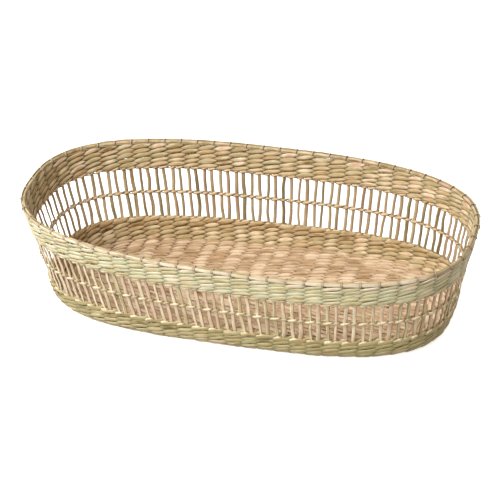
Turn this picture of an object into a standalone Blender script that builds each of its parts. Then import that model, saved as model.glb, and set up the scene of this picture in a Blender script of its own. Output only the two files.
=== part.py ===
"""Oval woven seagrass basket: ribs that turn up into pairs of stakes, a base mat woven round the
ribs, woven rounds and twined cords on the stakes, and a strip of cane lashed round the top.

Metres, +Z up. X runs along the basket and the origin is on the ground below its middle.
Everything follows one outline, a rounded oval that is drawn in by an inset, and one wall line,
which gives that inset at each height. Places round the wall are counted in pairs of stakes: pair
number k stands at k + 0.5, counted from the +X end, and a whole number is the gap between two pairs.
"""

import bisect
import math

import bmesh
import bpy
from mathutils import Vector

UP = Vector((0, 0, 1))

# Driving dimensions of the whole basket.
RIM_HALF_LENGTH = 0.270
RIM_HALF_WIDTH = 0.137
RIM_HEIGHT = 0.1248
RIM_SQUARENESS = 2.64  # exponent of the oval: 2 is an ellipse, more is squarer
BASE_SQUARENESS = 3.05
SHEER = -0.0101  # the rim's rise towards +X, so the -X end stands higher
EGG = 0.0385  # how much broader the +X end is, as a share of the width

# The middle of the wall, as insets from the rim's outer edge. It is straight from knee to top.
FOOT_INSET, FOOT_HEIGHT = 0.0376, 0.0029
KNEE_INSET, KNEE_HEIGHT = 0.0282, 0.0130
TOP_INSET, TOP_HEIGHT = 0.0048, 0.1202

# Pairs of stakes, counted round the rim.
PAIR_COUNT = 64
END_PAIR_COUNT = 12
STAKE_WIDTH = 0.0024
STAKE_THICKNESS = 0.0012
STAKE_TOP = 0.1212
KNEE_SPREAD = 0.38  # distance between a pair's stakes, as a share of the distance between pairs
TOP_SPREAD = 0.42

# The ribs, in two layers: those across the base lie under those along it.
RIB_WIDTH = 0.0050
RIB_THICKNESS = 0.0013
CROSS_RIB_HEIGHT = 0.0017
LONG_RIB_HEIGHT = 0.0040
LONG_RIB_PITCH = 0.0066
FAN_START = 0.110  # distance from the middle at which the ribs along the base fan out

# The base mat, woven round the ribs: insets and heights of its edge, from the bottom up.
MAT_TOP = 0.0060
MAT_EDGE_INSET = 0.0384
MAT_EDGE = [(0.0410, 0.0), (MAT_EDGE_INSET, 0.0012), (MAT_EDGE_INSET, 0.0048), (0.0408, MAT_TOP)]
CHANNEL_CLEARANCE = 0.00032
CHANNEL_OVERRUN = 0.012
END_SETBACK = 0.020  # how far inside a rib's end each corner starts towards the mat's edge
MAT_ROOM = 0.0008  # from the mat's edge to where a rib parts into its stakes

# Flat seagrass weavers.
WEAVER_THICKNESS = 0.0016
SWING_OUT, SWING_IN = 0.0050, 0.0045  # how far a weaver's middle goes from the wall's middle
LOWER_ROUNDS = 5
LOWER_WEAVER_HEIGHT = 0.0042
LOWER_FIRST, LOWER_PITCH = 0.0056, 0.0053  # distances up the wall line, from the foot
UPPER_ROUNDS = 5
UPPER_WEAVER_HEIGHT = 0.0045
UPPER_FIRST, UPPER_PITCH = 0.0950, 0.0053  # heights above the ground

# Twined cords, of two strands each: one goes outside the stakes and one inside.
TWINE_HEIGHTS = {"lower": 0.0294, "middle": 0.0612, "upper": 0.0912}
TWINE_SIZE = 0.0021
TWINE_GAP = 0.0010

# The rim: a strip of cane standing on edge just outside the stakes' tops, wrapped once at each gap
# between pairs by a lashing.
HOOP_THICKNESS = 0.0020
HOOP_DEPTH = 0.0037
HOOP_HEIGHT = 0.1223
HOOP_OUT = 0.0024  # from the wall's middle to the strip's
LASHING_SIZE = 0.0012
LASHING_GAP = 0.0004
WRAP_ADVANCE = 0.0040
WRAP_CORNERS = [(1, -1), (1, 1), (-1, 1), (-1, -1), (1, -1)]  # out or in, and above or below

OUTLINE_SAMPLES = 1440
REACH_TOLERANCE = 1e-6
SLOPE_ANGLE = math.radians(0.4)  # half the stretch over which the outline's direction is taken
SLOPE_RISE = 0.0005  # half the height over which the wall's lean is taken


def wall_inset(height):
    """Inset of the wall's middle at a height."""
    if height < KNEE_HEIGHT:
        share = (height - FOOT_HEIGHT) / (KNEE_HEIGHT - FOOT_HEIGHT)
        return FOOT_INSET + share * (KNEE_INSET - FOOT_INSET)
    share = (height - KNEE_HEIGHT) / (TOP_HEIGHT - KNEE_HEIGHT)
    return KNEE_INSET + share * (TOP_INSET - KNEE_INSET)


def height_up_wall(distance):
    """Height reached by going this far up the wall line from its foot."""
    run, rise = FOOT_INSET - KNEE_INSET, KNEE_HEIGHT - FOOT_HEIGHT
    foot_length = math.hypot(run, rise)
    if distance < foot_length:
        return FOOT_HEIGHT + rise * distance / foot_length
    run, rise = KNEE_INSET - TOP_INSET, TOP_HEIGHT - KNEE_HEIGHT
    return KNEE_HEIGHT + rise * (distance - foot_length) / math.hypot(run, rise)


def outline(angle, inset, height):
    """Point of the oval at this inset and height, in the direction of angle."""
    squareness = BASE_SQUARENESS + (RIM_SQUARENESS - BASE_SQUARENESS) * height / RIM_HEIGHT
    cos, sin = math.cos(angle), math.sin(angle)
    reach = (abs(cos) ** squareness + abs(sin) ** squareness) ** (-1 / squareness)
    along = cos * reach
    return Vector((
        (RIM_HALF_LENGTH - inset) * along,
        (RIM_HALF_WIDTH - inset) * sin * reach * (1 + EGG * along),
        height * (1 + SHEER / RIM_HEIGHT * along),
    ))


def measure_round_wall():
    """Angles of the outline, and the distance round the middle of the wall to each."""
    height = RIM_HEIGHT / 2
    inset = wall_inset(height)
    angles = [2 * math.pi * i / OUTLINE_SAMPLES for i in range(OUTLINE_SAMPLES + 1)]
    points = [outline(angle, inset, height) for angle in angles]
    distances = [0.0]
    for before, after in zip(points, points[1:]):
        distances.append(distances[-1] + (after - before).length)
    return angles, distances


ANGLES, DISTANCES = measure_round_wall()


def angle_at(place):
    """Outline angle at a place round the wall, which is counted in pairs of stakes."""
    target = place % PAIR_COUNT * DISTANCES[-1] / PAIR_COUNT
    k = bisect.bisect_right(DISTANCES, target, hi=OUTLINE_SAMPLES) - 1
    share = (target - DISTANCES[k]) / (DISTANCES[k + 1] - DISTANCES[k])
    return ANGLES[k] + share * (ANGLES[k + 1] - ANGLES[k])


def wall_frame(place, height):
    """The wall's middle at a place and height, with the directions out of it, along it and up it."""
    angle, inset = angle_at(place), wall_inset(height)
    after, before = angle + SLOPE_ANGLE, angle - SLOPE_ANGLE
    along = (outline(after, inset, height) - outline(before, inset, height)).normalized()
    below, above = wall_inset(height - SLOPE_RISE), wall_inset(height + SLOPE_RISE)
    lean = math.atan2(below - above, 2 * SLOPE_RISE)
    up = along.cross(UP).normalized() * math.sin(lean) + UP * math.cos(lean)
    return outline(angle, inset, height), along.cross(up).normalized(), along, up


def rectangle(centre, across, upward, width, height):
    """Four corners of a flat strand's section."""
    a, u = across * (width / 2), upward * (height / 2)
    return [centre - a - u, centre + a - u, centre + a + u, centre - a + u]


def triangle(centre, out, upward, size):
    """Three corners of a thin cord's section, one of them facing out."""
    back = centre - out * (size / 4)
    side = upward * (size / 2 * math.sin(math.radians(60)))
    return [centre + out * (size / 2), back + side, back - side]


def bridge(mesh, first, second):
    """Joins two loops of vertices with a band of faces."""
    for i in range(len(first)):
        j = (i + 1) % len(first)
        mesh.faces.new((first[i], first[j], second[j], second[i]))


def add_loops(mesh, sections):
    """Adds a strand's sections to the mesh and joins each to the next, leaving its ends open."""
    loops = [[mesh.verts.new(point) for point in section] for section in sections]
    for first, second in zip(loops, loops[1:]):
        bridge(mesh, first, second)
    return loops


def ring(sections):
    """A mesh of one endless strand."""
    mesh = bmesh.new()
    loops = add_loops(mesh, sections)
    bridge(mesh, loops[-1], loops[0])
    return mesh


def material(name, colour, roughness):
    made = bpy.data.materials.new(name)
    made.use_nodes = True
    shader = made.node_tree.nodes["Principled BSDF"]
    shader.inputs["Base Color"].default_value = (*colour, 1)
    shader.inputs["Roughness"].default_value = roughness
    shader.inputs["Metallic"].default_value = 0.0
    return made


def add_object(name, mesh, finish):
    """Turns the bmesh into a named object with its faces pointing out."""
    bmesh.ops.recalc_face_normals(mesh, faces=mesh.faces)
    data = bpy.data.meshes.new(name)
    mesh.to_mesh(data)
    mesh.free()
    data.materials.append(finish)
    made = bpy.data.objects.new(name, data)
    bpy.context.scene.collection.objects.link(made)
    return made


def make_weaver(name, height, weaver_height, phase, finish):
    """One round of weaving: outside one pair of stakes and inside the next."""
    sections = []
    for pair in range(PAIR_COUNT):
        middle, out, _, up = wall_frame(pair + 0.5, height)
        swing = SWING_OUT if (pair + phase) % 2 == 0 else -SWING_IN
        sections.append(rectangle(middle + out * swing, out, up, WEAVER_THICKNESS, weaver_height))
    add_object(name, ring(sections), finish)


def make_twine(name, height, side, finish):
    """One strand of a twined cord: side is 1 outside the stakes and -1 inside."""
    stand_off = STAKE_THICKNESS / 2 + TWINE_GAP + TWINE_SIZE / 2
    sections = []
    for pair in range(PAIR_COUNT):
        middle, out, _, up = wall_frame(pair + 0.5, height)
        sections.append(triangle(middle + out * (side * stand_off), out * side, up, TWINE_SIZE))
    add_object(name, ring(sections), finish)


def hoop_frame(place):
    """The hoop's middle, with the directions out of it, along it and up through it."""
    middle, _, along, _ = wall_frame(place, HOOP_HEIGHT)
    out = along.cross(UP).normalized()
    return middle + out * HOOP_OUT, out, along, out.cross(along).normalized()


def make_hoop(finish):
    """The strip of cane, with a corner at each gap and at each pair."""
    sections = []
    for k in range(2 * PAIR_COUNT):
        middle, out, _, up = hoop_frame(k / 2)
        sections.append(rectangle(middle, out, up, HOOP_THICKNESS, HOOP_DEPTH))
    add_object("rim_hoop", ring(sections), finish)


def lashing_route():
    """Points of the lashing and the direction away from the hoop at each: a wrap at every gap."""
    reach_out = HOOP_THICKNESS / 2 + LASHING_GAP + LASHING_SIZE / 2
    reach_up = HOOP_DEPTH / 2 + LASHING_GAP + LASHING_SIZE / 2
    route = []
    for gap in range(PAIR_COUNT):
        middle, out, along, up = hoop_frame(gap)
        for k, (side, level) in enumerate(WRAP_CORNERS):
            away = out * (side * reach_out) + up * (level * reach_up)
            advance = WRAP_ADVANCE * (k / (len(WRAP_CORNERS) - 1) - 0.5)
            route.append((middle + away + along * advance, away.normalized()))
    return route


def make_lashing(finish):
    """One long cord that wraps round the hoop and runs on below its outer edge."""
    route = lashing_route()
    sections = []
    for k, (point, away) in enumerate(route):
        onward = (route[(k + 1) % len(route)][0] - route[k - 1][0]).normalized()
        out = (away - onward * away.dot(onward)).normalized()
        sections.append(triangle(point, out, onward.cross(out), LASHING_SIZE))
    add_object("rim_lashing", ring(sections), finish)


def reach_of_mat(start, direction):
    """How far from start, along direction, the widest part of the mat's edge is."""
    near, far = 0.0, RIM_HALF_LENGTH
    while far - near > REACH_TOLERANCE:
        reach = (near + far) / 2
        point = start + direction * reach
        along = point.x / (RIM_HALF_LENGTH - MAT_EDGE_INSET)
        across = point.y / (RIM_HALF_WIDTH - MAT_EDGE_INSET) / (1 + EGG * along)
        angle = math.atan2(across, along)
        if point.xy.length < outline(angle, MAT_EDGE_INSET, 0.0).xy.length:
            near = reach
        else:
            far = reach
    return near


def rib_end(start, foot):
    """Where the middle of a rib that leaves start for the foot of its stakes is clear of the mat."""
    direction = Vector((foot.x - start.x, foot.y - start.y, 0)).normalized()
    return start + direction * (reach_of_mat(start, direction) + MAT_ROOM)


def cross_rib_route(pair, partner):
    """Ends of the rib that runs across the base between two pairs of stakes."""
    feet = [wall_frame(p + 0.5, FOOT_HEIGHT)[0] for p in (pair, partner)]
    middle = Vector((feet[0].x, 0, CROSS_RIB_HEIGHT))
    return [rib_end(middle, foot) for foot in feet]


def long_rib_route(pair, partner):
    """Points of the rib that runs along the base between two pairs, fanning out to each."""
    place = (pair + END_PAIR_COUNT // 2) % PAIR_COUNT - (END_PAIR_COUNT - 1) / 2
    right, left = (
        Vector((side * FAN_START, place * LONG_RIB_PITCH, LONG_RIB_HEIGHT)) for side in (1, -1)
    )
    right_foot, left_foot = (wall_frame(p + 0.5, FOOT_HEIGHT)[0] for p in (pair, partner))
    return [rib_end(right, right_foot), right, left, rib_end(left, left_foot)]


def rib_directions(route):
    """The level direction of a rib at each point of its route."""
    steps = [(after - before).normalized() for before, after in zip(route, route[1:])]
    turns = [(before + after).normalized() for before, after in zip(steps, steps[1:])]
    return [steps[0], *turns, steps[-1]]


def six_corners(low_edge, thickness):
    """A flat bar's section: its low edge from left to right, then its high edge back again."""
    return low_edge + [corner + UP * thickness for corner in reversed(low_edge)]


def rib_sections(route):
    """Sections of a rib, whose ends are cut to run beside the mat's edge."""
    sections = []
    directions = rib_directions(route)
    for k, (point, onward) in enumerate(zip(route, directions)):
        left, low = UP.cross(onward) * (RIB_WIDTH / 2), point - UP * (RIB_THICKNESS / 2)
        low_edge = [low + left * side for side in (1, 0, -1)]
        if k in (0, len(route) - 1):
            outward = -onward if k == 0 else onward
            starts = [corner - outward * END_SETBACK for corner in low_edge]
            low_edge = [
                start + outward * (reach_of_mat(start, outward) + MAT_ROOM) for start in starts
            ]
        sections.append(six_corners(low_edge, RIB_THICKNESS))
    return sections


def channel_sections(route):
    """Sections of the channel for a rib, a little larger and running out past the mat's edge."""
    directions = rib_directions(route)
    points = [route[0] - directions[0] * CHANNEL_OVERRUN, *route[1:-1]]
    points.append(route[-1] + directions[-1] * CHANNEL_OVERRUN)
    thickness = RIB_THICKNESS + 2 * CHANNEL_CLEARANCE
    sections = []
    for point, onward in zip(points, directions):
        left = UP.cross(onward) * (RIB_WIDTH / 2 + CHANNEL_CLEARANCE)
        low = point - UP * (thickness / 2)
        sections.append(six_corners([low + left * side for side in (1, 0, -1)], thickness))
    return sections


def grow_stake(mesh, root, pair, side):
    """Carries half of a rib's end up the wall: side is 1 for the pair's stake at the greater place.

    The root's corners are the low one and the high one at the rib's edge, around the two that both
    halves share. The rib's low face becomes the stake's outer face.
    """
    loop = root
    for height, spread in ((KNEE_HEIGHT, KNEE_SPREAD), (STAKE_TOP, TOP_SPREAD)):
        middle, out, along, _ = wall_frame(pair + 0.5 + side * spread / 2, height)
        section = rectangle(middle, along * -side, -out, STAKE_WIDTH, STAKE_THICKNESS)
        following = [mesh.verts.new(point) for point in section]
        bridge(mesh, loop, following)
        loop = following
    mesh.faces.new(loop)


def make_ribbed_stakes(name, route, pair, partner, finish):
    """A rib through the base whose two ends each part into a pair of stakes."""
    mesh = bmesh.new()
    loops = add_loops(mesh, rib_sections(route))
    for loop, end_pair, left_side in ((loops[0], pair, -1), (loops[-1], partner, 1)):
        left_low, middle_low, right_low, right_high, middle_high, left_high = loop
        grow_stake(mesh, [left_low, middle_low, middle_high, left_high], end_pair, left_side)
        grow_stake(mesh, [right_low, middle_low, middle_high, right_high], end_pair, -left_side)
    add_object(name, mesh, finish)


def all_ribs():
    """Name, route and the two pairs of stakes of every rib."""
    half, end = PAIR_COUNT // 2, END_PAIR_COUNT // 2
    ribs = []
    for k, pair in enumerate(range(end, half - end)):
        partner = PAIR_COUNT - 1 - pair
        ribs.append((f"cross_rib_stakes_{k + 1:02}", cross_rib_route(pair, partner), pair, partner))
    for k in range(END_PAIR_COUNT):
        pair = (k - end) % PAIR_COUNT
        partner = (half - 1 - pair) % PAIR_COUNT
        ribs.append((f"long_rib_stakes_{k + 1:02}", long_rib_route(pair, partner), pair, partner))
    return ribs


def make_channel_cutter(ribs, finish):
    """Bars a little larger than the ribs, running out past the mat's edge."""
    mesh = bmesh.new()
    for _, route, _, _ in ribs:
        loops = add_loops(mesh, channel_sections(route))
        mesh.faces.new(loops[0])
        mesh.faces.new(loops[-1])
    cutter = add_object("rib_channel_cutter", mesh, finish)
    cutter.hide_render = True
    cutter.display_type = "WIRE"
    return cutter


def make_mat(ribs, finish):
    """The base: a thick oval mat with its edges eased, and a channel for each rib."""
    mesh = bmesh.new()
    sections = []
    for inset, height in MAT_EDGE:
        corners = [outline(angle_at(pair + 0.5), inset, 0.0) for pair in range(PAIR_COUNT)]
        sections.append([corner + UP * height for corner in corners])
    loops = add_loops(mesh, sections)
    mesh.faces.new(loops[0])
    mesh.faces.new(loops[-1])
    mat = add_object("base_mat", mesh, finish)
    channels = mat.modifiers.new("rib channels", "BOOLEAN")
    channels.operation = "DIFFERENCE"
    channels.object = make_channel_cutter(ribs, finish)


def main():
    for old in list(bpy.data.objects):
        bpy.data.objects.remove(old)

    green_seagrass = material("green_seagrass", (0.52, 0.50, 0.29), 0.62)
    olive_seagrass = material("olive_seagrass", (0.44, 0.41, 0.20), 0.64)
    pink_seagrass = material("pink_seagrass", (0.66, 0.45, 0.29), 0.66)
    pale_cane = material("pale_cane", (0.76, 0.65, 0.46), 0.50)
    stake_cane = material("stake_cane", (0.66, 0.52, 0.34), 0.55)

    ribs = all_ribs()
    make_mat(ribs, pink_seagrass)
    for name, route, pair, partner in ribs:
        make_ribbed_stakes(name, route, pair, partner, stake_cane)

    for k in range(LOWER_ROUNDS):
        height = height_up_wall(LOWER_FIRST + k * LOWER_PITCH)
        make_weaver(f"lower_weaver_{k + 1}", height, LOWER_WEAVER_HEIGHT, k, olive_seagrass)
    for k in range(UPPER_ROUNDS):
        height = UPPER_FIRST + k * UPPER_PITCH
        make_weaver(f"upper_weaver_{k + 1}", height, UPPER_WEAVER_HEIGHT, k, green_seagrass)

    for place, height in TWINE_HEIGHTS.items():
        make_twine(f"{place}_twine_outer", height, 1, pale_cane)
        make_twine(f"{place}_twine_inner", height, -1, pale_cane)

    make_hoop(pale_cane)
    make_lashing(pale_cane)


main()
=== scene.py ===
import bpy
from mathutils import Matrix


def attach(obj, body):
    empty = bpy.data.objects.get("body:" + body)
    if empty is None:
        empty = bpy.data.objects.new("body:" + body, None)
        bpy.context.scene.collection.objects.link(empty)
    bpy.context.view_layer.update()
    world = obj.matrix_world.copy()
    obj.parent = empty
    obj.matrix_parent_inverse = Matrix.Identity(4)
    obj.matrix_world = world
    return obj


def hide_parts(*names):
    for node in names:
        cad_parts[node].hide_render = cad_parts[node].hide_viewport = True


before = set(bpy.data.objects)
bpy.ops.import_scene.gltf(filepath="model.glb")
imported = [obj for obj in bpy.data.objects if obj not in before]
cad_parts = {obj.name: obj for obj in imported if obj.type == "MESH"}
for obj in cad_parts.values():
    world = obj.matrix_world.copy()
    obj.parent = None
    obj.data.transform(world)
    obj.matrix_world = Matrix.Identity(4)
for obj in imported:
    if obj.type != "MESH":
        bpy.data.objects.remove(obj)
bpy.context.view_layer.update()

"""Oval woven seagrass basket: every strand is modelled by itself and follows the wall and the base.

A strand's way is given by its place round the basket, counted in pairs of stakes, and by its
distance along one profile line, which runs from the middle of the base (negative) through the foot
(zero) and up the wall. Out is away from the basket's inside: down under the base, outwards on the
wall. Everything is in metres, in the CAD frame.
"""

import math

import bpy
import numpy as np
from mathutils import Matrix, Vector

rng = np.random.default_rng(20)
UPWARDS = np.array([0, 0, 1.0])

# Driving dimensions. The rim and the wall's top are the CAD model's. The foot is a little wider and
# higher and the knee a little narrower, and the basket leans.
RIM_HALF_LENGTH = 0.270
RIM_HALF_WIDTH = 0.137
RIM_HEIGHT = 0.1248
RIM_SQUARENESS = 2.64
BASE_SQUARENESS = 3.05
SHEER = -0.0101
EGG = 0.0385
LEAN_X, LEAN_Y = 0.0008, 0.0032  # how much further towards +X and +Y the rim is than the base
FOOT_INSET, FOOT_HEIGHT = 0.0352, 0.0039
KNEE_INSET, KNEE_HEIGHT = 0.0292, 0.0130
TOP_INSET, TOP_HEIGHT = 0.0048, 0.1202
OVERSHOOT_INSET, OVERSHOOT_HEIGHT = 0.0024, 0.011  # how far the profile line goes on past the top
PROFILE_STEP, PROFILE_WINDOW = 0.0005, 15  # the window, in steps, rounds the profile's corners
PAIR_COUNT = 64
SIDE_FIRST, SIDE_LAST = 6, 26  # gaps at the two ends of a long side
TWINE_HEIGHTS = {"lower": 0.0294, "middle": 0.0612, "upper": 0.0912}
TWINE_HALF_WIDTHS = {"lower": 0.00215, "middle": 0.00165, "upper": 0.00150}
TWINE_HALF_THICK, TWINE_SWING, TWINE_LIFT = 0.0010, 0.0017, 0.0010
TWINE_BIAS = 0.28  # how much more of the way a cord's strand spends on its own side of the stakes
TWINE_WAIST = 0.55  # width where a strand turns, as a share of its full width
TWINE_WIDTH_SPREAD, TWINE_WANDER = 0.10, 0.00015

# Woven rows: each is two strands twisted round each other once between one pair and the next.
ROW_COUNT = 5
UPPER_FIRST, UPPER_PITCH = 0.0952, 0.0055  # heights
LOWER_FIRST, LOWER_PITCH = 0.0034, 0.0057  # distances up the profile line
UPPER_SWINGS = [0.0019] * ROW_COUNT  # from the wall's middle to a strand that passes a pair
LOWER_SWINGS = [0.0019, 0.0022, 0.0022, 0.0021, 0.0019]
ROW_HALF_THICK = 0.0013
FLOAT_SAMPLES = np.array([0, 0.05, 0.11, 0.19, 0.31, 0.50, 0.69, 0.81, 0.89, 0.95])
FLOAT_FLATNESS = 3.0
# As shares of the rows' pitch. At a gap one strand dives inwards above the other, which emerges.
FLOAT_HALF_WIDTH = 0.57
DIVING_HALF_WIDTH, DIVING_RISE = 0.32, 0.27
EMERGING_HALF_WIDTH, EMERGING_RISE = 0.26, -0.40
WALL_POINTING = (0.50, 0.75)  # powers that narrow a float outside and inside to its ends
BASE_POINTING = (0.36, 0.32)
FLAT_STRAND = {"sides": 16, "ridges": 0.28}
STRAND_TONES = 0.25  # how far apart the tones of a row's two strands are
ROW_TONES = 0.20  # how much the tone varies from row to row
FLOAT_TONES = 0.25  # the most that a float's tone differs from its strand's
# Painted shade at a float's ends, where it goes into the wall: DIVE_POWER shapes how far along the
# float it reaches, and it is deepest at the emerging end, in the shade of the float over it.
DIVE_POWER = 0.4
EMERGING_SHADE, DIVING_SHADE = 1.0, 0.1

# How much the hand's work varies: spreads, and the limits that some are held to.
GAP_WANDER, GAP_WANDER_LIMIT = 0.055, 0.13  # a row's turns from the middle of the gaps, in pairs
ROW_DRIFT = 0.04  # of the rows' pitch
FLOAT_SIZE_SPREAD, FLOAT_SIZE_LIMITS = 0.10, (0.8, 1.2)
FLOAT_SKEW_SPREAD, FLOAT_SHIFT_SPREAD = 0.12, 0.07  # of the rows' pitch
BULGE_SPREAD, BULGE_LIMITS = 0.07, (0.88, 1.2)
WALL_ROLL, BASE_ROLL = (0.20, 0.12), (0.16, 0.10)  # mean and spread of a float's roll, in radians
GROOVE_RANGE = 1.2  # of the place of a strand's ridges across it, in radians

# Stakes and the stems that cross the base.
STAKE_WIDTH, STAKE_HALF_THICK = 0.0041, 0.00068
STAKE_WIDTH_SPREAD, STAKE_WIDTH_LIMITS = 0.00045, (0.0028, 0.0048)
WIDE_STAKE_SHARE, WIDE_STAKE_WIDTHS = 0.08, (0.0050, 0.0057)
STAKE_WAVE, STAKE_WAVE_RATE = 0.0003, 310  # in and out, and radians for each metre of height
STAKE_TURN_SPREAD, STAKE_TURN_RATE = 0.22, 60
STAKE_STEM = {"power": 3.0, "sides": 12, "ridges": 0.12}
STAKE_TOP_HEIGHT = 0.1222
BASE_MIDDLE = 0.0039
CROSS_STEM_HALF_WIDTH, ROOT_HALF_WIDTH = 0.00145, 0.0014
CROSS_STEM_TONE = 0.4
LONG_STEM_PITCH = 0.0066
ROOT_X = 0.182  # how far out along X the roots of the end stakes begin

# The base's rows: some go all round it, and the rest run straight along its middle.
RING_COUNT, RING_FIRST, RING_PITCH = 5, -0.0024, 0.0063
NARROWEST_GAP = 0.0095  # where a round's gaps at its ends would be closer, every other one goes
PANEL_ROWS = 22
PANEL_END_ROOM = 0.008  # from a straight row's end to its nearest gap
PANEL_OVERLAP = 0.0025  # how far the straight rows go under the rounds
BASE_SWING, BASE_HALF_THICK = 0.0014, 0.0008

# The rim: a strip on edge outside the stakes' tops, a thin core inside them, and a lashing.
STRIP_HEIGHT, STRIP_OUT = 0.1227, 0.0022
STRIP_HALF_DEPTH, STRIP_HALF_THICK = 0.0024, 0.00075
STRIP_PULL = 0.0003  # how far a wrap draws the strip in
STRIP_RISE_SPREAD, STRIP_ROLL = 0.00018, (0.05, 0.06)
STRIP_WAIST, STRIP_DEPTH_SPREAD = 0.80, 0.12  # at a wrap, as a share of the depth
PALE_FROM, PALE_OVER = 0.65, 0.30  # the strip is paler where it faces along Y, which 1 would be
CORE_HEIGHT, CORE_OUT, CORE_HALF = 0.1224, -0.0007, 0.0022
CORE_ROUNDNESS = 0.8  # thickness of the core as a share of its depth
CORE_WAIST, CORE_DEPTH_SPREAD = 0.85, 0.2
WRAP_HALF_WIDTH, WRAP_HALF_THICK = 0.0010, 0.00045
WRAP_OUTSIDE, WRAP_INSIDE, WRAP_ABOVE = 0.0007, 0.0006, 0.0002  # room round strip and core
WRAP_START = math.radians(215)  # inside and below, where the run from the last wrap arrives
WRAP_ADVANCE = (0.09, 0.03)  # mean and spread of how far along a wrap goes, in pairs
RUN_SAG = 0.0006

# Light and camera.
STUDIO_STRENGTH = 0.80
STUDIO_AXIS = (-0.60, 0.0, 1.0)  # the light grows along this direction
STUDIO_LOW, STUDIO_HIGH, STUDIO_HIGH_AT = (0.43, 0.36, 0.26, 1), (1.0, 0.97, 0.92, 1), 0.35
KEY_PLACE, KEY_SIZE, KEY_WATTS = (-1.05, -1.8, 2.15), 1.4, 79
KEY_TARGET = (0, 0, 0.05)
FLOOR_HALF, FLOOR_GLOW = 6, 0.72
LENS, SENSOR_WIDTH = 131.0, 36.0
CAMERA_PLACE = (0.60750, -1.67594, 1.23231)
CAMERA_SIDE = (0.95309, 0.29336, -0.07460)
CAMERA_UP = (-0.10222, 0.54391, 0.83288)
CAMERA_BACK = (0.28491, -0.78619, 0.54839)


# ---------------------------------------------------------------- profile and outline

def smoothed_profile():
    """Distance, inset and height along the profile line, with its corners rounded."""
    corners = np.array([
        (RIM_HALF_WIDTH, FOOT_HEIGHT), (FOOT_INSET, FOOT_HEIGHT), (KNEE_INSET, KNEE_HEIGHT),
        (TOP_INSET, TOP_HEIGHT), (TOP_INSET - OVERSHOOT_INSET, TOP_HEIGHT + OVERSHOOT_HEIGHT)])
    lengths = np.concatenate([[0], np.cumsum(np.linalg.norm(np.diff(corners, axis=0), axis=1))])
    distance = np.arange(0, lengths[-1], PROFILE_STEP)
    inset, height = (np.interp(distance, lengths, corners[:, k]) for k in (0, 1))
    window = np.hanning(PROFILE_WINDOW)
    window /= window.sum()
    pad = len(window) // 2
    inset, height = (
        np.convolve(np.concatenate([2 * line[0] - line[pad:0:-1], line,
                                    2 * line[-1] - line[-2:-pad - 2:-1]]), window, "valid")
        for line in (inset, height))
    return distance - lengths[1], inset, height


BASE_SHIFT = -LEAN_Y * (1 - FOOT_HEIGHT / RIM_HEIGHT)  # along Y, of the base's middle
PROFILE, PROFILE_INSET, PROFILE_HEIGHT = smoothed_profile()
PROFILE_LEAN = np.arctan2(-np.gradient(PROFILE_INSET), np.gradient(PROFILE_HEIGHT))


def distance_at(height):
    """Distance up the profile line to a height on the wall."""
    wall = PROFILE > 0.001
    return np.interp(height, PROFILE_HEIGHT[wall], PROFILE[wall])


def outline(angle, inset, height):
    """Points of the oval at this inset and height, in the direction of angle."""
    squareness = BASE_SQUARENESS + (RIM_SQUARENESS - BASE_SQUARENESS) * height / RIM_HEIGHT
    cos, sin = np.cos(angle), np.sin(angle)
    reach = (np.abs(cos) ** squareness + np.abs(sin) ** squareness) ** (-1 / squareness)
    along = cos * reach
    leaning = height / RIM_HEIGHT - 1
    return np.stack([
        (RIM_HALF_LENGTH - inset) * along + LEAN_X * leaning,
        (RIM_HALF_WIDTH - inset) * sin * reach * (1 + EGG * along) + LEAN_Y * leaning,
        height * (1 + SHEER / RIM_HEIGHT * along)], axis=-1)


def measure_round_wall():
    """Angles of the outline, and the distance round the middle of the wall to each."""
    angles = np.linspace(0, 2 * np.pi, 1441)
    inset = np.interp(distance_at(RIM_HEIGHT / 2), PROFILE, PROFILE_INSET)
    steps = np.linalg.norm(np.diff(outline(angles, inset, RIM_HEIGHT / 2), axis=0), axis=1)
    return angles, np.concatenate([[0], np.cumsum(steps)])


ANGLES, ROUND = measure_round_wall()
PAIR_PITCH = ROUND[-1] / PAIR_COUNT


def angle_at(place):
    """Outline angle at a place round the wall, unwrapped."""
    turns = np.floor(np.asarray(place) / PAIR_COUNT)
    return 2 * np.pi * turns + np.interp(
        (place - turns * PAIR_COUNT) * PAIR_PITCH, ROUND, ANGLES)


def unit(vectors):
    return vectors / np.maximum(np.linalg.norm(vectors, axis=-1, keepdims=True), 1e-12)


def shell(angle, distance, out=0.0):
    """Points on the basket's shell, moved out, with the directions out of it and up it."""
    angle, distance, out = np.broadcast_arrays(
        np.asarray(angle, float), np.asarray(distance, float), np.asarray(out, float))
    inset = np.interp(distance, PROFILE, PROFILE_INSET)
    height = np.interp(distance, PROFILE, PROFILE_HEIGHT)
    lean = np.interp(distance, PROFILE, PROFILE_LEAN)[..., None]
    step = math.radians(0.4)
    along = unit(outline(angle + step, inset, height) - outline(angle - step, inset, height))
    up = unit(np.cross(along, UPWARDS)) * np.sin(lean) + UPWARDS * np.cos(lean)
    outwards = unit(np.cross(along, up))
    return outline(angle, inset, height) + outwards * out[..., None], outwards, up


# ---------------------------------------------------------------- strands to meshes

def section(count, wide, normal, half_wide, half_thick, power, sides, ridges, skew):
    """Offsets from a strand's middle to the corners of its section, which may have ridges."""
    turn = (np.arange(sides) + 0.5) * 2 * np.pi / sides
    cos, sin = (np.sign(w) * np.abs(w) ** (2 / power) for w in (np.cos(turn), np.sin(turn)))
    half_wide, half_thick, skew = (
        np.broadcast_to(h, count)[:, None] for h in (half_wide, half_thick, skew))
    ripple = 1 - ridges * (0.5 - 0.5 * np.cos(2 * np.pi * (cos + 1) + skew))
    across, through = half_wide * cos, half_thick * sin * ripple
    return wide[:, None] * across[..., None] + normal[:, None] * through[..., None]


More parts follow.
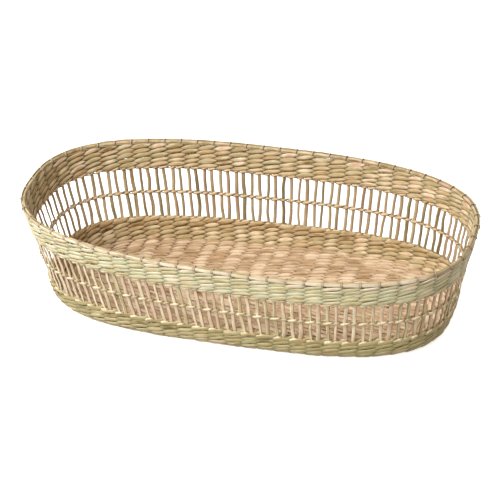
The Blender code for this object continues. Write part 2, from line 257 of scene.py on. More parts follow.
def tube(points, wide, half_wide, half_thick, tone, dive_shade, outwards, closed=True, power=2.2,
         sides=10, ridges=0.0, skew=0.0):
    """One strand as vertices, faces, grain coordinates and facts at each vertex. wide is the
    direction of its width. Its facts are tone, a darkening that is mostly painted shade where it
    goes into the weave, and how far the surface faces inwards."""
    count = len(points)
    if closed:
        tangent = np.roll(points, -1, 0) - np.roll(points, 1, 0)
        hops = np.linalg.norm(np.roll(points, -1, 0) - points, axis=1)
    else:
        tangent = np.gradient(points, axis=0)
        hops = np.linalg.norm(np.diff(points, axis=0), axis=1)
    length = np.concatenate([[0], np.cumsum(hops)])
    tangent = unit(tangent)
    normal = unit(np.cross(tangent, wide))
    wide = np.cross(normal, tangent)
    offsets = section(count, wide, normal, half_wide, half_thick, power, sides, ridges, skew)
    verts = (points[:, None] + offsets).reshape(-1, 3)
    facing = (unit(offsets) * outwards[:, None]).sum(-1)
    tone, dive_shade = (np.broadcast_to(fact, count)[:, None] for fact in (tone, dive_shade))
    facts = np.stack(np.broadcast_arrays(tone, dive_shade, 0.5 - 0.5 * facing), -1).reshape(-1, 3)
    rows = count if closed else count - 1
    i, j = np.meshgrid(np.arange(rows), np.arange(sides), indexing="ij")
    after, beside = (i + 1) % count, (j + 1) % sides
    quads = np.stack([i * sides + j, i * sides + beside,
                      after * sides + beside, after * sides + j], -1).reshape(-1, 4)
    offset = rng.uniform(0, 50)  # no two strands have the same grain
    u0, u1 = length[i] + offset, length[i + 1] + offset
    v0, v1 = j / sides, (j + 1) / sides
    grain = np.stack([np.stack([u0, v0], -1), np.stack([u0, v1], -1),
                      np.stack([u1, v1], -1), np.stack([u1, v0], -1)], 2).reshape(-1, 2)
    triangles = np.zeros((0, 3), int)
    if not closed:
        first, last = len(verts), len(verts) + 1
        verts = np.concatenate([verts, points[[0, -1]]])
        facts = np.concatenate([facts, facts[[0, -1]]])
        k = np.arange(sides)
        following, base = (k + 1) % sides, (count - 1) * sides
        triangles = np.concatenate([
            np.stack([np.full(sides, first), following, k], 1),
            np.stack([np.full(sides, last), base + k, base + following], 1)])
        grain = np.concatenate([grain, np.zeros((len(triangles) * 3, 2)) + [[offset, 0.5]]])
    return verts, quads, triangles, grain, facts


def piece(name, parts, material, nodes):
    """One visible piece of the object, from the strands given."""
    verts, loops, totals, grain, facts, base = [], [], [], [], [], 0
    for v, quads, triangles, uv, fact in parts:
        verts.append(v)
        loops += [(quads + base).ravel(), (triangles + base).ravel()]
        totals += [np.full(len(quads), 4), np.full(len(triangles), 3)]
        grain.append(uv)
        facts.append(fact)
        base += len(v)
    verts, loops, totals, grain, facts = (
        np.concatenate(a) for a in (verts, loops, totals, grain, facts))
    mesh = bpy.data.meshes.new(name)
    mesh.vertices.add(len(verts))
    mesh.loops.add(len(loops))
    mesh.polygons.add(len(totals))
    mesh.vertices.foreach_set("co", verts.astype(np.float32).ravel())
    mesh.loops.foreach_set("vertex_index", loops.astype(np.int32))
    mesh.polygons.foreach_set(
        "loop_start", np.concatenate([[0], np.cumsum(totals)[:-1]]).astype(np.int32))
    mesh.polygons.foreach_set("use_smooth", np.ones(len(totals), bool))
    mesh.uv_layers.new(name="grain").data.foreach_set("uv", grain.astype(np.float32).ravel())
    mesh.attributes.new("strand", "FLOAT_VECTOR", "POINT").data.foreach_set(
        "vector", facts.astype(np.float32).ravel())
    mesh.update(calc_edges=True)
    mesh.validate()
    mesh.materials.append(material)
    obj = bpy.data.objects.new(name, mesh)
    bpy.context.scene.collection.objects.link(obj)
    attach(obj, "root")
    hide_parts(*nodes)
    return obj


# ---------------------------------------------------------------- weaving

def flat_topped(crest):
    """A wave's shape with its tops flattened, as a strand lies against what it passes."""
    return np.tanh(FLOAT_FLATNESS * crest) / math.tanh(FLOAT_FLATNESS)


def float_shape(floats, row, strand, pitch, pointing):
    """The course of strand 0 or 1 of a row past floats pairs: for each sample the float it is in,
    its share of that float, 1 outside or -1 inside, its rise, half width, colour tone and painted
    shade."""
    share = np.tile(FLOAT_SAMPLES, floats)
    index = np.repeat(np.arange(floats), len(FLOAT_SAMPLES))
    crest = np.sin(np.pi * share)
    sign = np.where((index + row + strand) % 2 == 0, 1.0, -1.0)
    size = rng.normal(1.0, FLOAT_SIZE_SPREAD, floats).clip(*FLOAT_SIZE_LIMITS)[index]
    skew = rng.normal(0, FLOAT_SKEW_SPREAD, floats)[index]
    shift = rng.normal(0, FLOAT_SHIFT_SPREAD, floats)[index]
    emerged = np.where(sign > 0, share, 1 - share)  # 0 where the strand comes out of the wall
    slant = EMERGING_RISE + (DIVING_RISE - EMERGING_RISE) * emerged
    rise = pitch * (slant + (shift + skew * (share - 0.5)) * crest)
    end_width = np.where(emerged < 0.5, EMERGING_HALF_WIDTH, DIVING_HALF_WIDTH)
    lozenge = crest ** np.where(sign > 0, *pointing)
    half_wide = pitch * (end_width + (FLOAT_HALF_WIDTH * size - end_width) * lozenge)
    own = 0.5 + STRAND_TONES * (strand - 0.5) + rng.normal(0, ROW_TONES)
    own = own + rng.uniform(-FLOAT_TONES, FLOAT_TONES, floats)
    tone = own[index] * crest + (1 - crest) * 0.5
    # Painted shade at the float's ends, where it goes into the weave.
    dive_shade = (1 - crest ** DIVE_POWER) * np.where(
        emerged < 0.5, EMERGING_SHADE, DIVING_SHADE)
    return index, share, sign, rise, half_wide, tone, dive_shade


def woven_strand(knots, distance, row, strand, pitch, swing, half_thick, drift, pointing):
    """Strand 0 or 1 of a row. knots are the outline angles of the gaps between the pairs."""
    floats = len(knots) - 1
    index, share, sign, rise, half_wide, tone, dive_shade = float_shape(
        floats, row, strand, pitch, pointing)
    crest = np.sin(np.pi * share)
    bulge = rng.normal(1.0, BULGE_SPREAD, floats).clip(*BULGE_LIMITS)[index]
    angle = knots[index] + share * (knots[index + 1] - knots[index])
    level = drift[index] * (1 - share) + np.roll(drift, -1)[index] * share
    out = swing * bulge * flat_topped(crest)
    points, outwards, up = shell(angle, distance + rise + pitch * level, sign * out)
    roll = (rng.normal(*WALL_ROLL, floats)[index] * sign * crest)[:, None]
    wide = up * np.cos(roll) + outwards * np.sin(roll)
    groove = rng.uniform(-GROOVE_RANGE, GROOVE_RANGE, floats)[index] * crest
    thick = half_thick + swing * bulge - out
    return tube(points, wide, half_wide, thick, tone, dive_shade, outwards, skew=groove, **FLAT_STRAND)


def wandering(knots, closed):
    """The gaps with each turn moved a little along the row."""
    strays = rng.normal(0, GAP_WANDER, len(knots)).clip(-GAP_WANDER_LIMIT, GAP_WANDER_LIMIT)
    strays[-1] = strays[0] if closed else 0
    return knots + strays * np.gradient(knots)


def woven_row(knots, distance, row, pitch, swing, half_thick, pointing):
    """Both strands of a row."""
    knots = wandering(knots, closed=True)
    drift = rng.normal(0, ROW_DRIFT, len(knots) - 1)
    return [
        woven_strand(knots, distance, row, strand, pitch, swing, half_thick, drift, pointing)
        for strand in (0, 1)]


def twine(distance, phase, stakes, half_wide, bias, samples=12):
    """One strand of a twined cord. It passes outside every other stake and inside the rest,
    rising as it goes by outside. With a bias it stays outside for more than half of the way."""
    count = len(stakes)
    order = np.append(stakes, stakes[0] + PAIR_COUNT)
    share = np.tile(np.arange(samples) / samples, count)
    index = np.repeat(np.arange(count), samples)
    place = order[index] + share * (order[index + 1] - order[index])
    turn = np.pi * (index + share + phase)
    side = np.cos(turn) + bias
    vary = rng.normal(1, TWINE_WIDTH_SPREAD, count)[index]
    uneven = rng.normal(0, TWINE_WANDER, count)[index] * np.sin(turn) ** 2
    points, outwards, up = shell(
        angle_at(place), distance + TWINE_LIFT * np.sin(turn) + uneven,
        TWINE_SWING * np.sign(side) * flat_topped(np.abs(side)))
    crest = np.abs(side).clip(0, 1)
    tone = rng.uniform(0, 1, count)[index] * crest + 0.5 * (1 - crest)
    wide = half_wide * vary * (TWINE_WAIST + (1 - TWINE_WAIST) * crest)
    # Painted shade where the strand turns in between the stakes.
    return tube(points, up, wide, TWINE_HALF_THICK, tone, 1 - crest ** 0.7, outwards,
                sides=12, ridges=0.2)


# ---------------------------------------------------------------- materials

def srgb(r, g, b):
    """Linear colour from an 8-bit sRGB one."""
    values = np.array([r, g, b]) / 255
    linear = np.where(values <= 0.04045, values / 12.92, ((values + 0.055) / 1.055) ** 2.4)
    return (*map(float, linear), 1.0)


def evenly(*colours):
    """Ramp stops for 8-bit sRGB colours, evenly spaced."""
    return [(k / (len(colours) - 1), srgb(*colour)) for k, colour in enumerate(colours)]


STREAK_SHADES = evenly(
    (150, 126, 92), (214, 200, 174), (246, 240, 228), (255, 255, 255), (255, 255, 255))
# The specks are the grass's own colour; the other two colours are painted shade, along a strand's
# lower edge and where it goes into the weave.
SPECK_COLOUR, LOWER_EDGE_SHADE_COLOUR, DIVE_SHADE_COLOUR = (
    srgb(160, 118, 76), srgb(150, 118, 76), srgb(124, 98, 58))


class Nodes:
    """A short way to write a node tree."""

    def __init__(self, name):
        self.material = bpy.data.materials.new(name)
        self.material.use_nodes = True
        self.tree = self.material.node_tree
        self.shader = self.tree.nodes["Principled BSDF"]

    def add(self, kind, inputs=(), **settings):
        node = self.tree.nodes.new(kind)
        for key, value in settings.items():
            setattr(node, key, value)
        for key, value in dict(inputs).items():
            if isinstance(value, bpy.types.NodeSocket):
                self.tree.links.new(value, node.inputs[key])
            else:
                node.inputs[key].default_value = value
        return node

    def math(self, operation, a, b=0.5, c=0.5, clamp=False):
        return self.add("ShaderNodeMath", {0: a, 1: b, 2: c}, operation=operation,
                        use_clamp=clamp).outputs[0]

    def noise(self, vector, scale, detail=3.0, roughness=0.55):
        return self.add("ShaderNodeTexNoise", {
            "Vector": vector, "Scale": scale, "Detail": detail, "Roughness": roughness,
        }).outputs["Fac"]

    def stretched_noise(self, vector, scale, detail, roughness=0.55):
        mapped = self.add("ShaderNodeMapping", {"Vector": vector, "Scale": (*scale, 1)})
        return self.noise(mapped.outputs[0], 1.0, detail, roughness)

    def spread(self, value, amount, level):
        """level + amount * (value - 0.5), for sums of noises whose middle is 0.5."""
        return self.math("ADD", self.math("MULTIPLY_ADD", value, amount, -amount / 2), level)

    def ramp(self, factor, stops):
        node = self.add("ShaderNodeValToRGB", {"Fac": factor})
        ramp = node.color_ramp
        while len(ramp.elements) < len(stops):
            ramp.elements.new(0.5)
        for element, (position, colour) in zip(ramp.elements, stops):
            element.position, element.color = position, colour
        return node.outputs["Color"]

    def mix(self, blend, factor, a, b):
        node = self.add("ShaderNodeMix", data_type="RGBA", blend_type=blend)
        for key, value in ((0, factor), (6, a), (7, b)):
            if isinstance(value, bpy.types.NodeSocket):
                self.tree.links.new(value, node.inputs[key])
            else:
                node.inputs[key].default_value = value
        return node.outputs[2]


def fibre_material(name, hues, inner_hues, streaks=(26, 6), bump=0.00030, dive_shade_strength=0.6,
                   roughness=(0.48, 0.68), spots=0.3, own_tone=0.7, lower_edge_shade=0.85):
    """Dried grass or cane: a hue that wanders along the strand, long lighter and darker streaks,
    spots, painted shade where a strand dives and along the lower edge of its section, and a fibrous
    relief."""
    n = Nodes(name)
    uv = n.add("ShaderNodeUVMap", uv_map="grain").outputs["UV"]
    strand = n.add("ShaderNodeAttribute", attribute_name="strand").outputs["Vector"]
    tone, dive_shade, inside = n.add("ShaderNodeSeparateXYZ", {0: strand}).outputs
    place = n.add("ShaderNodeTexCoord").outputs["Object"]
    along, across = streaks
    broad = n.stretched_noise(uv, (along, across), 2.0)
    fine = n.stretched_noise(uv, (along * 3.2, across * 3.5), 3.0, 0.65)
    speck = n.stretched_noise(uv, (260, 12), 1.0)
    wander = n.stretched_noise(uv, (30, 1.5), 2.0)
    patch = n.noise(place, 11.0, 2.0)

    hue = n.spread(wander, 1.5, n.spread(patch, 0.8, n.spread(tone, own_tone, 0.5)))
    # Faces turned towards the basket's inside take the inner hues, which are mostly browner and
    # darker than the outer ones.
    outer, inner = n.ramp(hue, hues), n.ramp(hue, inner_hues)
    colour = n.mix("MIX", n.add("ShaderNodeMapRange", {
        "Value": inside, "From Min": 0.3, "From Max": 0.7}).outputs[0], outer, inner)
    light = n.spread(broad, 1.7, n.spread(fine, 1.5, n.spread(tone, -0.45, 0.60)))
    colour = n.mix("MULTIPLY", 1.0, colour, n.ramp(light, STREAK_SHADES))
    speckled = n.math("MULTIPLY", n.math("GREATER_THAN", speck, 0.68), spots)
    colour = n.mix("MULTIPLY", speckled, colour, SPECK_COLOUR)
    # Painted shade, as if lit from above: the half of each section towards one edge is darkened,
    # the lower edge on the wall's rows and cords.
    turn = n.math("MULTIPLY", n.add("ShaderNodeSeparateXYZ", {0: uv}).outputs[1], 2 * math.pi)
    below = n.math("MAXIMUM", n.math("MULTIPLY", n.math("COSINE", turn), -1.0), 0.0)
    colour = n.mix("MULTIPLY", n.math("MULTIPLY", n.math("POWER", below, 1.5), lower_edge_shade),
                   colour, LOWER_EDGE_SHADE_COLOUR)
    # Painted shade where a strand goes into the weave, turns in behind a stake or is drawn in under
    # a wrap, and a little even darkening over the whole lashing.
    colour = n.mix("MULTIPLY", n.math("MULTIPLY", dive_shade, dive_shade_strength), colour, DIVE_SHADE_COLOUR)

    relief = n.math("MULTIPLY_ADD", fine, 0.55, n.math("MULTIPLY", broad, 0.9))
    bumps = n.add("ShaderNodeBump", {"Height": relief, "Strength": 0.85, "Distance": bump})
    rough = n.add("ShaderNodeMapRange", {
        "Value": fine, "From Min": 0.3, "From Max": 0.7,
        "To Min": roughness[0], "To Max": roughness[1]}).outputs[0]
    for key, value in (("Base Color", colour), ("Roughness", rough),
                       ("Normal", bumps.outputs["Normal"])):
        n.tree.links.new(value, n.shader.inputs[key])
    n.shader.inputs["Specular IOR Level"].default_value = 0.42
    n.shader.inputs["Sheen Weight"].default_value = 0.12
    n.shader.inputs["Sheen Roughness"].default_value = 0.4
    return n.material


GREEN = fibre_material(
    "green_seagrass",
    evenly((238, 214, 186), (248, 238, 212), (214, 218, 184), (236, 226, 186), (192, 186, 136)),
    evenly((212, 174, 144), (236, 218, 188), (186, 170, 128), (220, 196, 158), (166, 144, 104)),
    dive_shade_strength=0.8)
OLIVE = fibre_material(
    "olive_seagrass",
    evenly((200, 176, 138), (212, 198, 156), (176, 170, 120), (194, 180, 134), (152, 142, 96)),
    evenly((206, 166, 132), (228, 208, 174), (182, 162, 118), (212, 184, 144), (164, 138, 96)),
    dive_shade_strength=0.8)
PINK = fibre_material(
    "pink_seagrass",
    evenly((222, 180, 144), (238, 212, 176), (214, 184, 140), (232, 206, 172)),
    evenly((212, 176, 148), (236, 212, 182), (196, 166, 132), (230, 200, 172)),
    streaks=(22, 9), dive_shade_strength=0.22, own_tone=0.45, lower_edge_shade=0.85)
CANE = fibre_material(
    "pale_cane",
    evenly((240, 216, 186), (250, 240, 214), (246, 232, 200), (238, 234, 206)),
    evenly((232, 192, 152), (246, 220, 184), (224, 192, 152), (236, 210, 174)),
    streaks=(30, 7), bump=0.00012, roughness=(0.38, 0.58), dive_shade_strength=0.8)
SAGE = fibre_material(
    "sage_cane",
    evenly((222, 216, 178), (206, 204, 164), (228, 220, 180), (198, 192, 148)),
    evenly((220, 190, 150), (210, 192, 156), (232, 208, 172), (204, 182, 146)),
    streaks=(30, 7), bump=0.00014, roughness=(0.42, 0.60), dive_shade_strength=0.8)
RIM = fibre_material(
    "rim_cane",
    evenly((176, 158, 120), (202, 186, 148), (236, 222, 194), (250, 240, 220), (252, 244, 228)),
    evenly((176, 162, 132), (196, 184, 152), (166, 154, 122)),
    streaks=(30, 7), bump=0.00012, roughness=(0.38, 0.58), dive_shade_strength=0.5, own_tone=1.3)
LASH = fibre_material(
    "lashing_cane",
    evenly((196, 168, 140), (214, 192, 160), (182, 158, 128)),
    evenly((182, 168, 138), (198, 184, 152), (170, 156, 124)),
    streaks=(30, 7), bump=0.00012, roughness=(0.42, 0.60), dive_shade_strength=0.6)
STAKE = fibre_material(
    "stake_cane",
    evenly((226, 198, 172), (238, 218, 188), (248, 236, 210), (242, 226, 196), (226, 220, 188)),
    evenly((162, 136, 110), (172, 150, 120), (188, 168, 136), (168, 154, 122), (156, 146, 116)),
    streaks=(14, 6), bump=0.00014, roughness=(0.42, 0.60), own_tone=1.2)


# ---------------------------------------------------------------- the wall's woven bands

WALL_KNOTS = angle_at(np.arange(PAIR_COUNT + 1).astype(float))


def band(name, levels, pitch, swings, material):
    """A band's rows, each of them two pieces, which stand for one ring of the CAD model."""
    for k, (level, swing) in enumerate(zip(levels, swings)):
        row = woven_row(WALL_KNOTS, level, k, pitch, swing, ROW_HALF_THICK, WALL_POINTING)
        for strand, letter in zip(row, "ab"):
            piece(f"{name}_strand_{k + 1}{letter}", [strand], material,
                  [f"{name}_weaver_{k + 1}"])


band("upper", [distance_at(UPPER_FIRST + k * UPPER_PITCH) for k in range(ROW_COUNT)],
     UPPER_PITCH, UPPER_SWINGS, GREEN)
band("lower", [LOWER_FIRST + k * LOWER_PITCH for k in range(ROW_COUNT)],
     LOWER_PITCH, LOWER_SWINGS, OLIVE)


# ---------------------------------------------------------------- the stakes and ribs

TWINES = {name: distance_at(height) for name, height in TWINE_HEIGHTS.items()}
STAKE_TOP = distance_at(STAKE_TOP_HEIGHT)
STAKE_LEVELS = np.array([
    0, 0.010, TWINES["lower"], (TWINES["lower"] + TWINES["middle"]) / 2, TWINES["middle"],
    (TWINES["middle"] + TWINES["upper"]) / 2, TWINES["upper"], STAKE_TOP])
STAKE_SPREAD = np.array([0.19, 0.19, 0.205, 0.235, 0.25, 0.235, 0.212, 0.20])
STAKE_JITTER = np.array([0, 0, 0.010, 0.020, 0.020, 0.020, 0.012, 0.0])


def eased_between(x, levels, values):
    """Interpolation with flat-ended easing between the levels."""
    k = np.clip(np.searchsorted(levels, x, side="right") - 1, 0, len(levels) - 2)
    share = np.clip((x - levels[k]) / (levels[k + 1] - levels[k]), 0, 1)
    share = share * share * (3 - 2 * share)
    return values[k] * (1 - share) + values[k + 1] * share


class Stake:
    """One upright stake: where it stands at each level, how wide it is and its colour."""

    def __init__(self, pair, side):
        self.places = (pair + 0.5 + side * STAKE_SPREAD
                       + rng.normal(0, 1, len(STAKE_LEVELS)) * STAKE_JITTER)
        self.width = float(
            np.clip(rng.normal(STAKE_WIDTH, STAKE_WIDTH_SPREAD), *STAKE_WIDTH_LIMITS))
        if rng.uniform() < WIDE_STAKE_SHARE:
            self.width = float(rng.uniform(*WIDE_STAKE_WIDTHS))
        self.tone = rng.uniform(0, 1)
        self.turn = rng.normal(0, STAKE_TURN_SPREAD)

    def place(self, distance):
        return eased_between(distance, STAKE_LEVELS, self.places)

    def wall_line(self, samples=30):
        """Points from the foot to the top, the stake's width direction, and outwards."""
        distance = np.linspace(0.0005, STAKE_TOP, samples)
        out = STAKE_WAVE * np.sin(distance * STAKE_WAVE_RATE + self.tone * 6)
        points, outwards, up = shell(angle_at(self.place(distance)), distance, out)
        along = unit(np.cross(up, outwards))
        roll = self.turn * np.sin(distance * STAKE_TURN_RATE + self.tone * 9)[:, None]
        return points, along * np.cos(roll) + outwards * np.sin(roll), outwards


stakes = {(pair, side): Stake(pair, side) for pair in range(PAIR_COUNT) for side in (-1, 1)}


def stake_with_root(stake, root):
    """A stake and the stem that it grows from, which ends at root under the rows of the base."""
    climb, wide, outwards = stake.wall_line()
    base = root + (climb[0] - root) * np.linspace(0, 1, 12)[:-1, None]
    base[:, 2] = BASE_MIDDLE
    across = unit(np.cross(np.broadcast_to(climb[0] - root, base.shape), UPWARDS))
    if (across[-1] * wide[0]).sum() < 0:
        across = -across
    counts = len(base), len(climb)
    return tube(np.concatenate([base, climb]), np.concatenate([across, wide]),
                np.repeat([ROOT_HALF_WIDTH, stake.width / 2], counts), STAKE_HALF_THICK,
                stake.tone, 0.0, np.concatenate([np.broadcast_to(UPWARDS, base.shape), outwards]),
                closed=False, **STAKE_STEM)


def stem(first, second, base_points):
    """A stem that comes down the wall as one stake, crosses the base and goes up as another."""
    down, down_wide, down_out = first.wall_line()
    climb, climb_wide, climb_out = second.wall_line()
    points = np.concatenate([down[::-1], base_points, climb])
    flat = np.gradient(np.concatenate([down[:1], base_points, climb[:1]]), axis=0)[1:-1]
    base_wide = unit(np.cross(flat, UPWARDS))
    start, end = down_wide[::-1], climb_wide
    if (start[-1] * base_wide[0]).sum() < 0:
        start = -start
    if (end[0] * base_wide[-1]).sum() < 0:
        end = -end
    base_out = np.broadcast_to(UPWARDS, base_points.shape)
    outwards = np.concatenate([down_out[::-1], base_out, climb_out])
    counts = len(down), len(base_points), len(climb)
    half_wide = np.repeat([first.width / 2, CROSS_STEM_HALF_WIDTH, second.width / 2], counts)
    tone = np.repeat([first.tone, CROSS_STEM_TONE, second.tone], counts)
    thick = STAKE_HALF_THICK + 0.0001 * np.sin(np.arange(len(points)) * 0.7)
    return tube(points, np.concatenate([start, base_wide, end]), half_wide, thick, tone, 0.0,
                outwards, closed=False, **STAKE_STEM)


def cross_stem(pair, side):
    """A stem across the base, from one stake of a pair to its partner on the far side."""
    first, second = stakes[pair, side], stakes[PAIR_COUNT - 1 - pair, -side]
    a, b = first.wall_line()[0][0], second.wall_line()[0][0]
    base = a + (b - a) * np.linspace(0, 1, 26)[1:-1, None]
    base[:, 2] = BASE_MIDDLE
    return stem(first, second, base)


SIDE_GAPS_X = shell(angle_at(np.arange(SIDE_FIRST, SIDE_LAST + 1).astype(float)), -0.001)[0][:, 0]


def end_stake(pair, side, end):
    """A stake at the +X end, where end is 1, or at the -X end, where it is -1. pair counts up from
    the most negative y at the +X end, and its partner at the -X end has the same y."""
    own = pair if end > 0 else PAIR_COUNT // 2 - 1 - pair
    y = (pair + 0.5 + end * side * 0.25) * LONG_STEM_PITCH + BASE_SHIFT
    root = np.array([end * ROOT_X, y, BASE_MIDDLE])
    return stake_with_root(stakes[own % PAIR_COUNT, side], root)


for k, pair in enumerate(range(SIDE_FIRST, SIDE_LAST)):
    piece(f"cross_stems_{k + 1:02}", [cross_stem(pair, side) for side in (-1, 1)],
          STAKE, [f"cross_rib_stakes_{k + 1:02}"])
for k, pair in enumerate(range(-SIDE_FIRST, SIDE_FIRST)):
    piece(f"long_stems_{k + 1:02}",
          [end_stake(pair, side, end) for end in (-1, 1) for side in (-1, 1)],
          STAKE, [f"long_rib_stakes_{k + 1:02}"])


# ---------------------------------------------------------------- twined cords

for name, level in TWINES.items():
    order = np.array([stakes[pair, side].place(np.array([level]))[0]
                      for pair in range(PAIR_COUNT) for side in (-1, 1)])
    for phase, end, finish, bias in (
            (0, "outer", CANE, TWINE_BIAS), (1, "inner", SAGE, -TWINE_BIAS)):
        strand = twine(level, phase, order, TWINE_HALF_WIDTHS[name], bias)
        piece(f"{name}_twine_{end}", [strand], finish, [f"{name}_twine_{end}"])


# ---------------------------------------------------------------- the base

def ring_knots(distance):
    """Outline angles of the gaps on a round of the base. On the long sides they keep to the
    gaps' places along X. Round the ends they spread evenly, in half as many where it is tight."""
    inset = np.interp(distance, PROFILE, PROFILE_INSET)
    table = np.linspace(0, np.pi, 721)
    reach = outline(table, inset, FOOT_HEIGHT)[:, 0]
    side = np.interp(-SIDE_GAPS_X, -reach, table)
    end_width = 2 * side[0] * (RIM_HALF_WIDTH - inset) / (2 * SIDE_FIRST)
    parts = 2 * SIDE_FIRST if end_width > NARROWEST_GAP else SIDE_FIRST
    left = np.linspace(side[-1], 2 * np.pi - side[-1], parts + 1)[1:-1]
    right = np.linspace(2 * np.pi - side[0], 2 * np.pi + side[0], parts + 1)[1:]
    return np.concatenate([side, left, 2 * np.pi - side[::-1], right])


def panel_knots(y, inset):
    """The gaps along X of a straight row at y. It ends under the rounds, at the oval's inset."""
    ends = []
    for middle in (0, np.pi):
        edge = outline(np.linspace(-np.pi / 2, np.pi / 2, 361) + middle, inset, FOOT_HEIGHT)
        edge = edge[np.argsort(edge[:, 1])]
        ends.append(np.interp(y, edge[:, 1], edge[:, 0]))
    right, left = ends
    between = (SIDE_GAPS_X < right - PANEL_END_ROOM) & (SIDE_GAPS_X > left + PANEL_END_ROOM)
    return np.concatenate([[right], SIDE_GAPS_X[between], [left]])


def panel_strand(knots, y, row, strand, pitch):
    """One strand of a straight row of the base, over and under the stems across it."""
    floats = len(knots) - 1
    index, share, sign, rise, half_wide, tone, dive_shade = float_shape(
        floats, row, strand, pitch, BASE_POINTING)
    x = knots[index] + share * (knots[index + 1] - knots[index])
    crest = np.sin(np.pi * share)
    out = BASE_SWING * flat_topped(crest)
    side = math.copysign(1, y - BASE_SHIFT)
    points = np.stack([x, y + rise * side, BASE_MIDDLE - sign * out], 1)
    roll = rng.normal(*BASE_ROLL, floats)[index] * sign * crest
    flat = np.stack([0 * roll, side * np.cos(roll), -np.sin(roll)], 1)
    groove = rng.uniform(-GROOVE_RANGE, GROOVE_RANGE, floats)[index] * crest
    thick = BASE_HALF_THICK + BASE_SWING - out
    return tube(points, flat, half_wide, thick, tone, dive_shade,
                np.broadcast_to(-UPWARDS, points.shape), closed=False, skew=groove, **FLAT_STRAND)


def base_weave():
    """Rows round the base's edge, and straight rows inside them."""
    parts = []
    for k in range(RING_COUNT):
        distance = RING_FIRST - k * RING_PITCH
        parts += woven_row(ring_knots(distance), distance, k, RING_PITCH, BASE_SWING,
                           BASE_HALF_THICK, BASE_POINTING)
    inner_ring = RING_FIRST - (RING_COUNT - 0.5) * RING_PITCH
    panel_edge = RIM_HALF_WIDTH - np.interp(inner_ring, PROFILE, PROFILE_INSET)
    pitch = 2 * panel_edge / PANEL_ROWS
    for k in range(PANEL_ROWS):
        y = -panel_edge + (k + 0.5) * pitch + BASE_SHIFT
        inset = RIM_HALF_WIDTH - panel_edge - PANEL_OVERLAP
        knots = wandering(panel_knots(y, inset), closed=False)
        parts += [panel_strand(knots, y, k, strand, pitch) for strand in (0, 1)]
    return parts


piece("base_weave", base_weave(), PINK, ["base_mat"])


# ---------------------------------------------------------------- the rim

def rim_frame(place):
    """Points of the wall's middle at the strip's height, with the level direction out of it."""
    points, outwards, _ = shell(angle_at(place), distance_at(STRIP_HEIGHT))
    return points, unit(outwards * [1, 1, 0])


def rim_strip():
    """The strip of cane, a length of it showing between each wrap and the next."""
    samples = 12
    place = np.arange(PAIR_COUNT * samples) / samples
    share, slat = place - np.floor(place), np.floor(place).astype(int)
    crest = np.sin(np.pi * share) ** 0.45
    points, radial = rim_frame(place)
    out = STRIP_OUT - STRIP_PULL * (1 - crest)
    rise = rng.normal(0, STRIP_RISE_SPREAD, PAIR_COUNT)[slat] * crest
    points = points + radial * out[:, None] + UPWARDS * rise[:, None]
    roll = (rng.normal(*STRIP_ROLL, PAIR_COUNT)[slat] * crest)[:, None]
    wide = UPWARDS * np.cos(roll) + radial * np.sin(roll)
    vary = rng.normal(1, STRIP_DEPTH_SPREAD, PAIR_COUNT)[slat]
    half_wide = STRIP_HALF_DEPTH * (STRIP_WAIST + (1 - STRIP_WAIST) * crest * vary)
    pale = ((np.abs(radial[:, 1]) - PALE_FROM) / PALE_OVER).clip(0, 1)
    tone = 0.65 * pale + rng.uniform(0, 0.35, PAIR_COUNT)[slat] * crest
    # Painted shade where the wraps draw the strip in.
    return tube(points, wide, half_wide, STRIP_HALF_THICK, tone, 0.8 * (1 - crest), radial,
                power=3.0, sides=14, ridges=0.15)


def rim_core():
    """A thin bundle of seagrass that lies inside the stakes' tops."""
    samples = 8
    place = np.arange(PAIR_COUNT * samples) / samples
    share, slat = place - np.floor(place), np.floor(place).astype(int)
    crest = np.sin(np.pi * share)
    points, radial = rim_frame(place)
    rise = CORE_HEIGHT - STRIP_HEIGHT + 0.0002 * crest
    points = points + radial * CORE_OUT + UPWARDS * rise[:, None]
    vary = rng.normal(1, CORE_DEPTH_SPREAD, PAIR_COUNT)[slat]
    swell = CORE_WAIST + (1 - CORE_WAIST) * crest * vary
    tone = rng.uniform(0, 1, PAIR_COUNT)[slat] * crest
    # Painted shade where the wraps cross the core.
    return tube(points, np.broadcast_to(UPWARDS, points.shape), CORE_HALF * swell,
                CORE_HALF * CORE_ROUNDNESS, tone, 0.5 * (1 - crest), radial, sides=10, ridges=0.2)


def lashing():
    """Wraps once round strip and core at each gap, and runs on below the core to the next."""
    outer = STRIP_OUT + STRIP_HALF_THICK + WRAP_OUTSIDE
    inner = CORE_OUT - CORE_HALF * CORE_ROUNDNESS - WRAP_INSIDE
    half_reach, half_height = (outer - inner) / 2, STRIP_HALF_DEPTH + WRAP_ABOVE
    turns = np.linspace(0, 2 * np.pi, 17)
    places, across, above = [], [], []
    for gap in range(PAIR_COUNT):
        advance = rng.normal(*WRAP_ADVANCE)
        places.append(gap + advance * (turns / (2 * np.pi) - 0.5))
        across.append(half_reach * np.cos(WRAP_START + turns))
        above.append(half_height * np.sin(WRAP_START + turns))
        run = np.linspace(0, 1, 8)[1:-1]
        places.append(gap + advance / 2 + run * (1 - advance))
        across.append(np.full(len(run), half_reach * math.cos(WRAP_START)))
        above.append(half_height * math.sin(WRAP_START) - RUN_SAG * np.sin(np.pi * run))
    place, across, above = (np.concatenate(line) for line in (places, across, above))
    points, radial = rim_frame(place)
    points = points + radial * (across + (outer + inner) / 2)[:, None] + UPWARDS * above[:, None]
    away = unit(radial * (across / half_reach)[:, None] + UPWARDS * (above / half_height)[:, None])
    tangent = unit(np.roll(points, -1, 0) - np.roll(points, 1, 0))
    tone = rng.uniform(0, 0.35, PAIR_COUNT)[np.floor(place + 0.5).astype(int) % PAIR_COUNT]
    return tube(points, unit(np.cross(tangent, away)), WRAP_HALF_WIDTH, WRAP_HALF_THICK, tone, 0.2,
                radial, power=2.6, sides=10)


piece("rim_strip", [rim_strip()], RIM, ["rim_hoop"])
piece("rim_core", [rim_core()], OLIVE, ["rim_hoop"])
piece("rim_lashing", [lashing()], LASH, ["rim_lashing"])


# ---------------------------------------------------------------- floor, light and camera

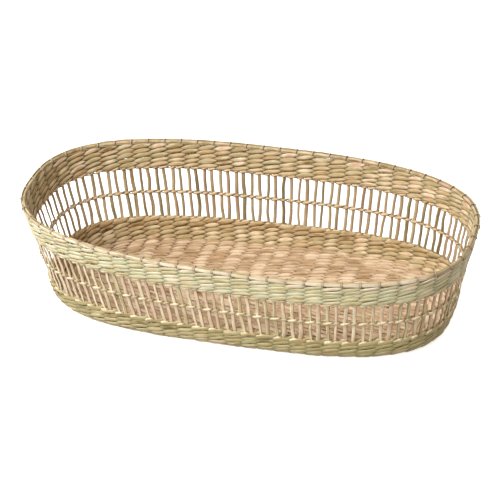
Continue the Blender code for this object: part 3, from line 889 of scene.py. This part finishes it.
def floor():
    material = Nodes("pale_floor")
    grain = material.noise(material.add("ShaderNodeTexCoord").outputs["Object"], 3.0)
    colour = material.ramp(grain, [(0.3, (0.90, 0.90, 0.90, 1)), (0.7, (0.93, 0.93, 0.93, 1))])
    material.tree.links.new(colour, material.shader.inputs["Base Color"])
    material.shader.inputs["Roughness"].default_value = 0.7
    material.shader.inputs["Emission Color"].default_value = (1, 1, 1, 1)
    material.shader.inputs["Emission Strength"].default_value = FLOOR_GLOW
    mesh = bpy.data.meshes.new("floor")
    corners = [(x * FLOOR_HALF, y * FLOOR_HALF, 0) for x, y in ((-1, -1), (1, -1), (1, 1), (-1, 1))]
    mesh.from_pydata(corners, [], [(0, 1, 2, 3)])
    mesh.materials.append(material.material)
    obj = bpy.data.objects.new("floor", mesh)
    obj.visible_diffuse = False
    bpy.context.scene.collection.objects.link(obj)


def softbox(name, place, size, watts):
    light = bpy.data.lights.new(name, "AREA")
    light.shape, light.size, light.energy = "DISK", size, watts
    obj = bpy.data.objects.new(name, light)
    obj.location = place
    obj.rotation_euler = (Vector(KEY_TARGET) - Vector(place)).to_track_quat("-Z", "Y").to_euler()
    bpy.context.scene.collection.objects.link(obj)


def studio():
    """Soft light from all round, warmer and weaker from below and from the right."""
    world = bpy.data.worlds.new("studio")
    world.use_nodes = True
    nodes, links = world.node_tree.nodes, world.node_tree.links
    direction = nodes.new("ShaderNodeTexCoord").outputs["Generated"]
    brightness = nodes.new("ShaderNodeVectorMath")
    brightness.operation = "DOT_PRODUCT"
    brightness.inputs[1].default_value = STUDIO_AXIS
    ramp = nodes.new("ShaderNodeValToRGB")
    links.new(direction, brightness.inputs[0])
    links.new(brightness.outputs["Value"], ramp.inputs["Fac"])
    links.new(ramp.outputs["Color"], nodes["Background"].inputs["Color"])
    low, high = ramp.color_ramp.elements
    low.color, high.color = STUDIO_LOW, STUDIO_HIGH
    low.position, high.position = 0.0, STUDIO_HIGH_AT
    nodes["Background"].inputs["Strength"].default_value = STUDIO_STRENGTH
    bpy.context.scene.world = world


def camera():
    data = bpy.data.cameras.new("camera")
    data.lens, data.sensor_width, data.clip_start, data.clip_end = LENS, SENSOR_WIDTH, 0.05, 60
    obj = bpy.data.objects.new("camera", data)
    obj.matrix_world = Matrix.Translation(CAMERA_PLACE) @ Matrix(
        (CAMERA_SIDE, CAMERA_UP, CAMERA_BACK)).transposed().to_4x4()
    bpy.context.scene.collection.objects.link(obj)
    bpy.context.scene.camera = obj


floor()
studio()
softbox("key", KEY_PLACE, KEY_SIZE, KEY_WATTS)
camera()
view = bpy.context.scene.view_settings
view.view_transform, view.look, view.exposure, view.gamma = "Standard", "None", 0.0, 1.0
